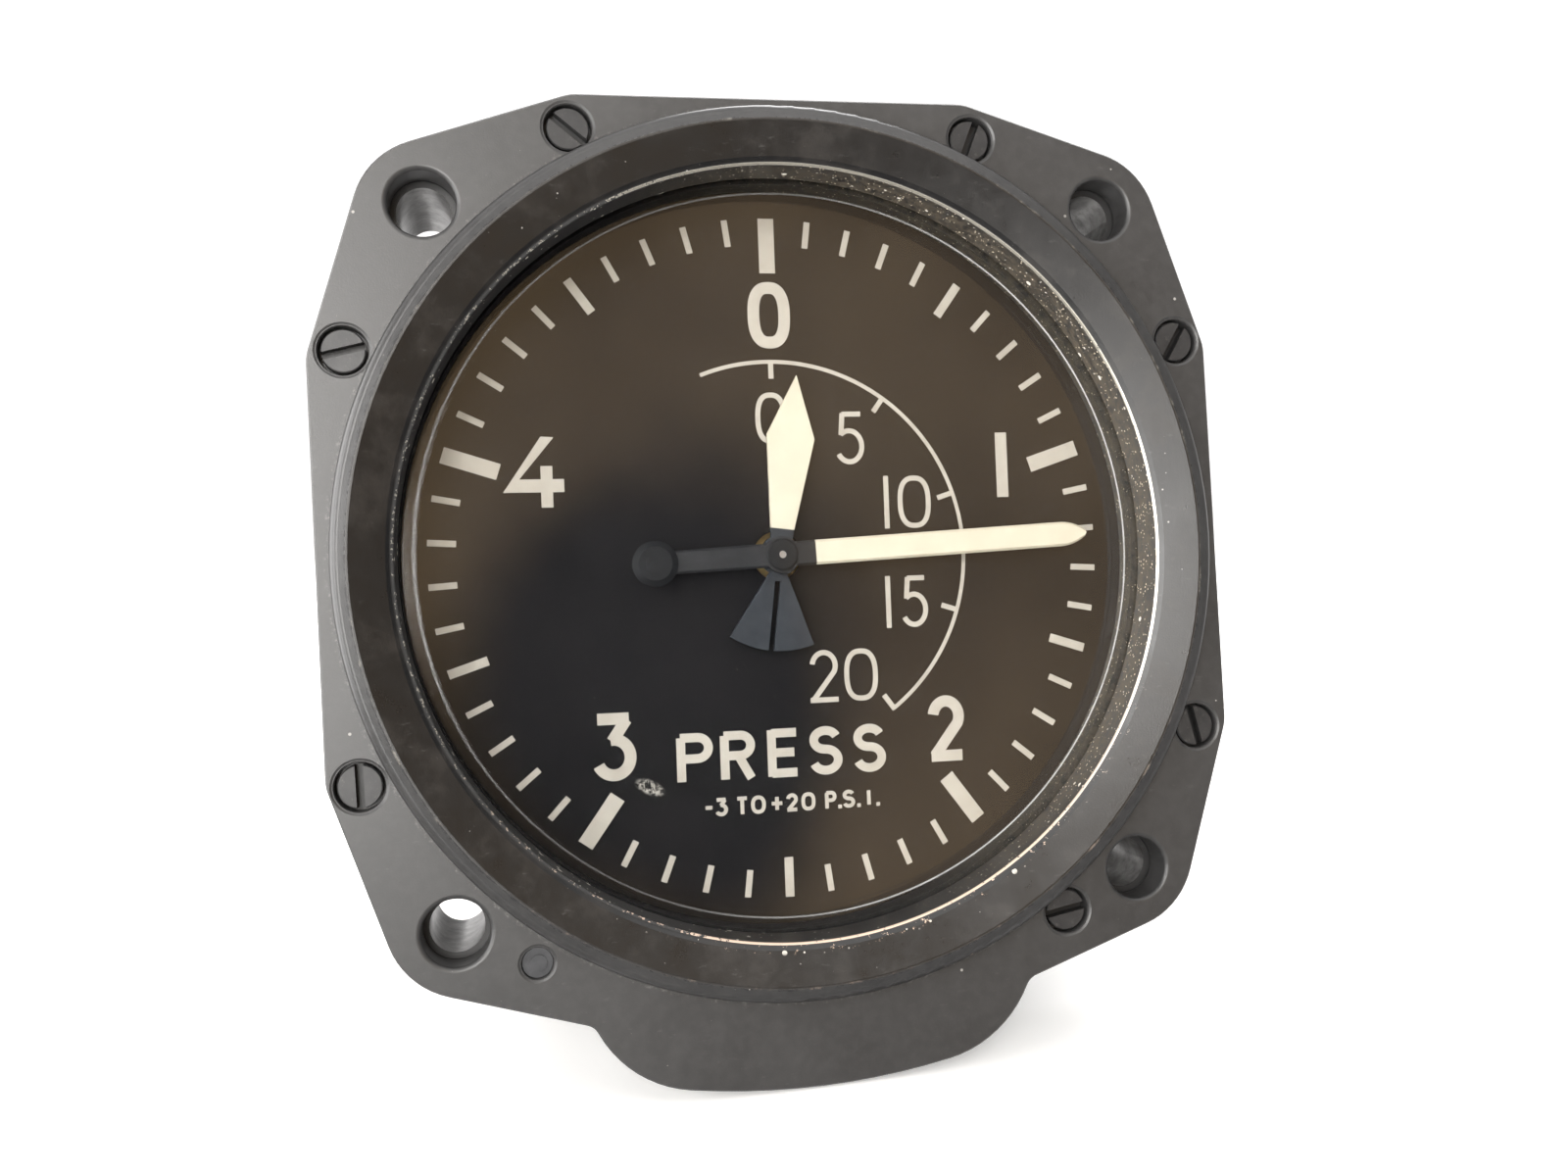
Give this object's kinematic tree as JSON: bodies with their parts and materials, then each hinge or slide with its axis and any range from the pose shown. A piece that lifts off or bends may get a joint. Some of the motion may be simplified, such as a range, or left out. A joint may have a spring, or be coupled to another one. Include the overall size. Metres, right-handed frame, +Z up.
{
  "type": "aircraft pressure gauge",
  "caption": "Panel-mounted round pressure gauge with a square eared flange, two pointers geared together over a black dial, glass window, deep case and rear pressure union",
  "frame": {"origin": "on the pointer axis, in the front face of the mounting flange, at the centre of the four mounting holes", "axes": "+X right as the dial is read, +Z up (toward the top of the dial), -Y out of the dial toward the reader, +Y into the panel"},
  "size_m": [0.083, 0.1069, 0.0895],
  "materials": {
    "flange_finish": "satin black finish, worn at the lip",
    "glass": "clear, polished",
    "seal": "matt black",
    "dark_screw": "blackened steel screws",
    "seal_compound": "matt",
    "bare_aluminium": "machined",
    "case_finish": "satin black",
    "steel": "machined",
    "brass": "machined",
    "dial_black": "matt black with off-white markings",
    "pointer_cream": "matt cream",
    "pointer_black": "matt black",
    "pointer_slate": "matt cream and slate",
    "spring_bronze": "polished",
    "filter": "sintered"
  },
  "bodies": {
    "housing": {"bezel": "flange_finish", "window_glass": "glass", "front_glass_gasket": "seal", "rear_glass_gasket": "seal", "glass_retaining_ring": "bare_aluminium", "bezel_screws": "dark_screw", "seal_screw": "dark_screw", "screw_seal": "seal_compound", "case_gasket": "seal", "case_body": "case_finish", "chassis_screw_washers": "seal", "chassis_screws": "steel", "pressure_union": "steel", "union_washer": "seal", "union_lock_nut": "steel", "vent_plug": "steel", "vent_filter": "filter", "dial": "dial_black", "dial_feet": "brass", "dial_foot_nuts": "brass", "movement_front_plate": "brass", "movement_back_plate": "brass", "chassis_rear_plate": "bare_aluminium", "movement_pillars": "brass", "chassis_pillars": "bare_aluminium", "pillar_screws": "steel", "pivot_bushes": "spring_bronze", "intermediate_stud": "steel", "stud_clip": "steel", "hairspring": "spring_bronze", "hairspring_stud": "brass", "capsule_stack": "spring_bronze", "capsule_base": "brass", "capsule_base_nut": "brass", "capsule_bracket": "bare_aluminium", "bracket_screws": "steel", "feed_pipe": "brass"},
    "long_pointer_group": {"long_pointer": "pointer_cream", "pointer_hub": "pointer_black", "pointer_counterweight": "pointer_black", "centre_arbor": "steel", "reduction_pinion": "steel"},
    "short_pointer_group": {"short_pointer": "pointer_slate", "short_pointer_pipe": "brass", "sleeve_wheel": "brass"},
    "intermediate_group": {"intermediate_wheel": "brass", "intermediate_pinion": "steel"},
    "second_arbor_group": {"second_arbor": "steel", "second_wheel": "brass", "hairspring_collet": "brass"},
    "rocking_group": {"rocking_shaft": "steel", "toothed_sector": "brass", "rocking_arm": "brass", "arm_pin": "steel"},
    "link_group": {"connecting_link": "steel"},
    "fork_group": {"capsule_fork": "brass", "fork_pin": "steel"}
  },
  "joints": [
    {"name": "long_pointer_turn", "type": "hinge", "parent": "housing", "child": "long_pointer_group", "pos_m": [0, 0.02, 0], "axis": [0, 1, 0], "range_deg": [-303.4, 1352.6], "stiffness_Nm_per_rad": 0.0002},
    {"name": "short_pointer_turn", "type": "hinge", "parent": "housing", "child": "short_pointer_group", "pos_m": [0, 0.01, 0], "axis": [0, 1, 0], "range_deg": [-31.34, 136.26]},
    {"name": "intermediate_turn", "type": "hinge", "parent": "housing", "child": "intermediate_group", "pos_m": [-0.00675, 0.013, 0.0039], "axis": [0, 1, 0], "range_deg": [-407.78, 93.02]},
    {"name": "second_arbor_turn", "type": "hinge", "parent": "housing", "child": "second_arbor_group", "pos_m": [0.01454, 0.025, -0.00219], "axis": [0, 1, 0], "range_deg": [-227.43, 52.57]},
    {"name": "rocking_shaft_turn", "type": "hinge", "parent": "housing", "child": "rocking_group", "pos_m": [0.005, 0.045, 0.009], "axis": [0, 1, 0], "range_deg": [-8.93, 38.07]},
    {"name": "link_swing", "type": "hinge", "parent": "rocking_group", "child": "link_group", "pos_m": [0.00016, 0.054, 0.00774], "axis": [0, 1, 0], "range_deg": [-38.07, 8.93]},
    {"name": "fork_lift", "type": "slide", "parent": "housing", "child": "fork_group", "axis": [0, 0, 1], "range_m": [-0.00078, 0.00326], "deforming": ["capsule_stack"]}
  ],
  "couplings": [
    {"joint": "short_pointer_turn", "follows": "long_pointer_turn", "ratio": 0.1},
    {"joint": "intermediate_turn", "follows": "long_pointer_turn", "ratio": -0.3},
    {"joint": "second_arbor_turn", "follows": "long_pointer_turn", "ratio": -0.16667},
    {"joint": "rocking_shaft_turn", "follows": "long_pointer_turn", "ratio": 0.027778},
    {"joint": "link_swing", "follows": "long_pointer_turn", "ratio": -0.027778},
    {"joint": "fork_lift", "follows": "long_pointer_turn", "m_per_rad": 0.00013556}
  ]
}
